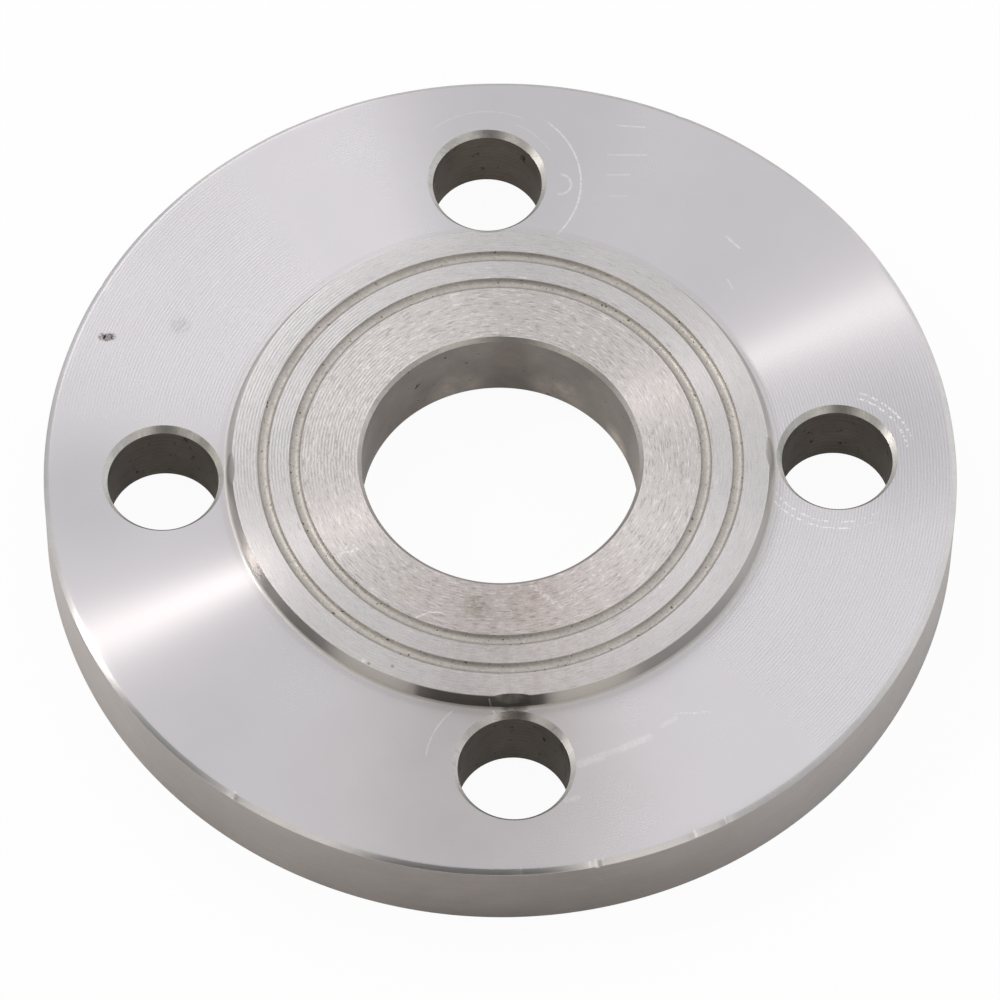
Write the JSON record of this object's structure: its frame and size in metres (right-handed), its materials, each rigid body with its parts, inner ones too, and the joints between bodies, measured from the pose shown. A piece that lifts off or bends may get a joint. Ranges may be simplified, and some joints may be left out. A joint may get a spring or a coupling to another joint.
{
  "type": "slip on pipe flange",
  "caption": "Flat round pipe flange with a low raised gasket face, ring grooves, a plain bore that slips over the pipe for welding, and countersunk bolt holes on a circle.",
  "frame": {"origin": "centre of the flat back face", "axes": "+Z along the bore axis, out of the raised gasket face; +X through the middle of a bolt hole"},
  "size_m": [0.115, 0.115, 0.014],
  "materials": {
    "turned_steel": "bright stainless steel with fine concentric turning marks"
  },
  "bodies": {
    "root": {"flange": "turned_steel"}
  },
  "joints": []
}
